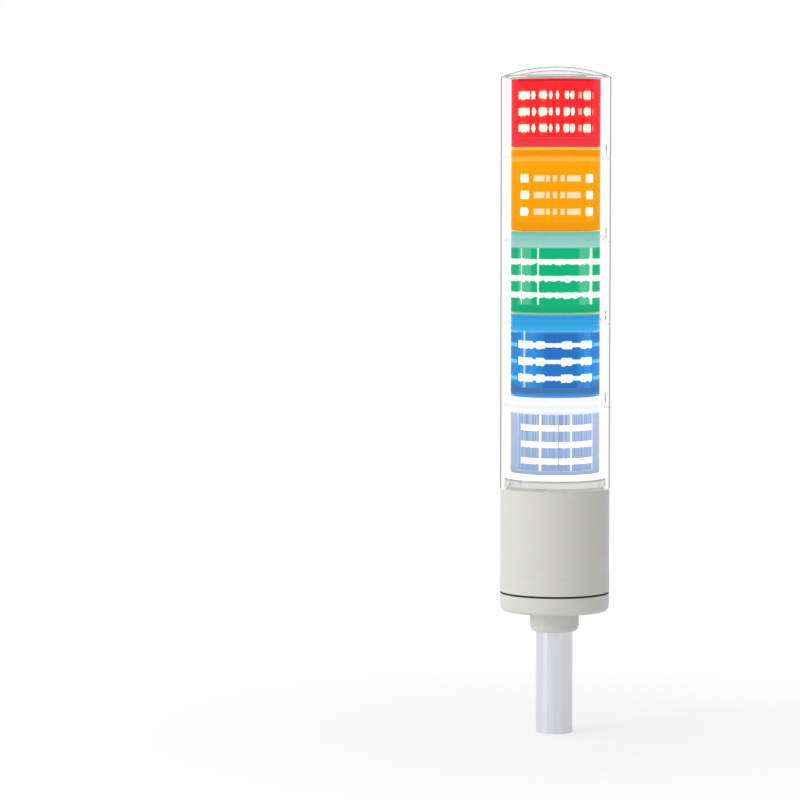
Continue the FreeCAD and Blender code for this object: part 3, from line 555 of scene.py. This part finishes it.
def prism_painted_light(colour, look, ribs):
    """Extruded acrylic whose ribs spread each row of lamps sideways into spots and bars, all
    painted as glow.
    """
    made, tree, shader = material(colour + "_acrylic", ior=1.49, roughness=0.12)
    shader.inputs["Base Color"].default_value = linear(look["deep"], 0.2)
    low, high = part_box(colour + "_prism")
    radius = (high.x - low.x) / 2 / MM
    spot = place(tree)
    angle = round_prism(tree, spot)
    height = add(tree, "SeparateXYZ", spot, out="Z")
    nearest, up = from_row(tree, colour, height)
    off = add(tree, "Math", up, **SIZE)

    row = lit_row(tree, ribs, angle, nearest, up, radius)
    if "seam" in ribs:
        # A fine dark seam runs down across the rows
        seam = outside(tree, angle, [ribs["seam"]], radius)
        seam = add(tree, "MapRange", seam, 0.3, 0.0)
        row = add(tree, "Math", row, add(tree, "Math", seam, -0.85, 1.0, **TIMES_PLUS), **TIMES)
    if "faint" in ribs:
        faint = outside(tree, angle, ribs["faint"], radius)
        faint = add(tree, "MapRange", faint, 0.6, -0.6, 0.0, 0.5, **SOFT)
        tall = add(tree, "MapRange", off, 2.0, 1.3, **SOFT)
        row = add(tree, "Math", row, add(tree, "Math", faint, tall, **TIMES), **HIGHER)
    if "columns" in ribs:
        column = outside(tree, angle, ribs["columns"], radius)
        column = add(tree, "MapRange", column, 0.35, -0.3, 0.0, ribs["strength"], **SOFT)
        row = add(tree, "Math", row, column, **HIGHER)

    # The body of light between the rows: how much lighter it gets, or darker below 0
    shade = behind(look, look["body"], RIB_SHARE)
    light = None
    if "seam" in ribs:
        # Each rib is about 2 mm wide, and the stripes show most near the top
        stripes = add(tree, "TexNoise", {"W": angle, "Scale": 0.33}, noise_dimensions="1D")
        stripes = add(tree, "MapRange", stripes, 0.44, 0.56, -0.9, 0.9)
        top = add(tree, "MapRange", height, low.z / MM, high.z / MM, 0.05, 1.1)
        light = add(tree, "Math", add(tree, "Math", stripes, top, **TIMES), seam, **MINUS)
    elif "wide" in ribs:
        wide = outside(tree, angle, ribs["wide"], radius)
        light = add(tree, "MapRange", wide, 3.0, -0.5, 0.0, 0.9, **SOFT)
        if colour == "red":
            # Only between the rows
            light = add(tree, "Math", light, add(tree, "MapRange", off, 4.4, 2.0, **SOFT), **TIMES)
        if colour == "blue":
            far = add(tree, "MapRange", wide, 4.0, 7.5, 0.0, -0.8, **SOFT)
            light = add(tree, "Math", light, far, **PLUS)
    if light is not None:
        near = behind(look, look["near"], RIB_SHARE)
        deep = behind(look, look["deep"], RIB_SHARE)
        lighter = add(tree, "Math", light, 0.0, **HIGHER)
        shade = add(tree, "Mix", {0: lighter, 6: shade, 7: near}, **COLOURS)
        darker = add(tree, "Math", add(tree, "Math", light, -1.0, **TIMES), 0.0, **HIGHER)
        shade = add(tree, "Mix", {0: darker, 6: shade, 7: deep}, **COLOURS)
    # Painted light: rows, spots, columns and body glow as emission in place of the lamps' light on
    # the ribs
    shades = {0: row, 6: shade, 7: behind(look, look["hot"], HOT_SHARE)}
    add(tree, "Mix", shades, to=shader.inputs["Emission Color"], **COLOURS)
    shader.inputs["Emission Strength"].default_value = 1.0
    return made


def lamp_finish(colour):
    """Silicone lens of a surface-mounted lamp, lit: it shows as a white-hot square."""
    made, tree, shader = material(colour + "_lamp_silicone", roughness=0.3, ior=1.41)
    phosphor = add(tree, "TexNoise", {"Vector": place(tree), "Scale": 1 / 0.5, "Detail": 2.0})
    shaded(tree, shader, phosphor, "f4f2e6", "fbf9ee")
    shader.inputs["Emission Color"].default_value = (1, 1, 1, 1)
    # Strong enough to burn out to white through any of the filters
    shader.inputs["Emission Strength"].default_value = 8.0
    return made


def paint(finish, *names):
    """Gives CAD nodes their finish."""
    for name in names:
        piece = nodes[name]
        if not piece.material_slots:
            piece.data.materials.append(finish)
        for slot in piece.material_slots:
            slot.material = finish


# Painted glow: the neck glows from the skirt's foot up, and the contact plate's rim from just above
# the neck; the strip left unglowing between them shows as a painted shadow line
skirt_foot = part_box("white_globe")[0].z / MM - 0.2
neck_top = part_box("base_housing")[1].z / MM
rim_foot, plate_top = neck_top + 1.0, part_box("contact_plate")[1].z / MM + 1.0
neck_painted_glow = with_painted_glow("grey_abs_painted_glow", grey_abs, "cbccce", 0.27, skirt_foot, neck_top - 0.5)
plate_painted_glow = with_painted_glow("white_abs_painted_glow", white_abs, "fffcff", 0.75, rim_foot, plate_top)
paint(aluminium, "pole")
paint(grey_abs, "base_cap", "pole_socket")
paint(neck_painted_glow, "base_housing")
paint(plate_painted_glow, "contact_plate")
paint(disc_abs, "end_disc")
paint(rubber, "base_gasket")
paint(cap_painted_glow_silicone, "cap_seal")
paint(zinc, "tie_screws", "set_screws", "lock_nut")
paint(green_resist, "base_board")
paint(terminal_nylon, "terminal_block")
paint(epoxy, "board_parts")
paint(gilt, "base_contact_pads")
paint(dome_clear, "top_cap")
for colour in TIERS:
    look = LIT[colour]
    # A module's foot is the rim that its globe stands just clear of
    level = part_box(colour + "_globe")[0].z / MM - 0.15
    paint(globe_clear, colour + "_globe")
    paint(filter_painted_glow(colour, look, level), colour + "_filter")
    paint(prism_painted_light(colour, look, RIBS[colour]), colour + "_prism")
    paint(white_abs, colour + "_led_frame")
    paint(white_resist, colour + "_led_boards")
    paint(lamp_finish(colour), colour + "_leds")
    paint(gilt, colour + "_contacts")
    paint(seal_silicone, colour + "_seal")
    if colour != "red":
        paint(gilt, colour + "_contact_pads")

# ---------------------------------------------------------------- studio


def seen_white(tree):
    """1 for what the camera sees directly, reflected or through clear plastic."""
    seen = add(tree, "LightPath", out="Is Camera Ray")
    for kind in ("Is Transmission Ray", "Is Glossy Ray"):
        seen = add(tree, "Math", seen, add(tree, "LightPath", out=kind), **HIGHER)
    return seen


# Plain matt paper with a faint fibre. It fades to plain white away from the pole, so that only the
# shadow near the pole shows.
floor_mesh = bpy.data.meshes.new("studio_floor")
far = 6.0
corners = [(-far, -far, 0), (far, -far, 0), (far, far, 0), (-far, far, 0)]
floor_mesh.from_pydata(corners, [], [(0, 1, 2, 3)])
floor = bpy.data.objects.new("studio_floor", floor_mesh)
scene.collection.objects.link(floor)
paper, tree, shader = material("white_paper", roughness=0.9)
spot = add(tree, "TexCoord", out="Object")
fibre = add(tree, "TexNoise", {"Vector": spot, "Scale": 400.0})
shaded(tree, shader, fibre, "f4f4f4", "f8f8f8")
plain = add(tree, "Emission", (1, 1, 1, 1), 1.0)
across = add(tree, "VectorMath", spot, operation="LENGTH", out="Value")
fading = add(tree, "MapRange", across, 0.05, 0.3, 0.6, 1.0, **SOFT)
share = add(tree, "Math", seen_white(tree), fading, **TIMES)
mixed = add(tree, "MixShader", share, shader.outputs[0], plain)
tree.links.new(mixed, tree.nodes["Material Output"].inputs["Surface"])
floor_mesh.materials.append(paper)

# A white room, brighter to the left of the light than to its right
world = bpy.data.worlds.new("studio_world")
world.use_nodes = True
scene.world = world
tree = world.node_tree
soft = tree.nodes["Background"]
across = add(tree, "SeparateXYZ", add(tree, "TexCoord", out="Generated"), out="X")
middle, rise = 0.85, -0.58
add(tree, "Math", across, rise, middle, to=soft.inputs["Strength"], **TIMES_PLUS)
soft.inputs["Color"].default_value = (1, 1, 1, 1)
white = add(tree, "Background", (1, 1, 1, 1), 1.0)
mixed = add(tree, "MixShader", seen_white(tree), soft.outputs[0], white)
tree.links.new(mixed, tree.nodes["World Output"].inputs["Surface"])


def softbox(name, spot, aim, width, height, power):
    """A large area lamp aimed at a point."""
    lamp = bpy.data.lights.new(name, "AREA")
    lamp.shape, lamp.size, lamp.size_y, lamp.energy = "RECTANGLE", width, height, power
    held = bpy.data.objects.new(name, lamp)
    held.location = spot
    held.rotation_euler = (Vector(aim) - Vector(spot)).to_track_quat("-Z", "Y").to_euler()
    held.visible_transmission = False
    scene.collection.objects.link(held)


key_place, key_aim = (-1.15, -0.75, 0.5), (0, 0, 0.2)
softbox("key_softbox", key_place, key_aim, width=0.25, height=1.0, power=3.2)

scene.view_settings.view_transform = "Standard"
# A ray through a clear module crosses up to about twenty faces
scene.cycles.max_bounces = 24
scene.cycles.transmission_bounces = 24
scene.cycles.glossy_bounces = 6
scene.cycles.diffuse_bounces = 3
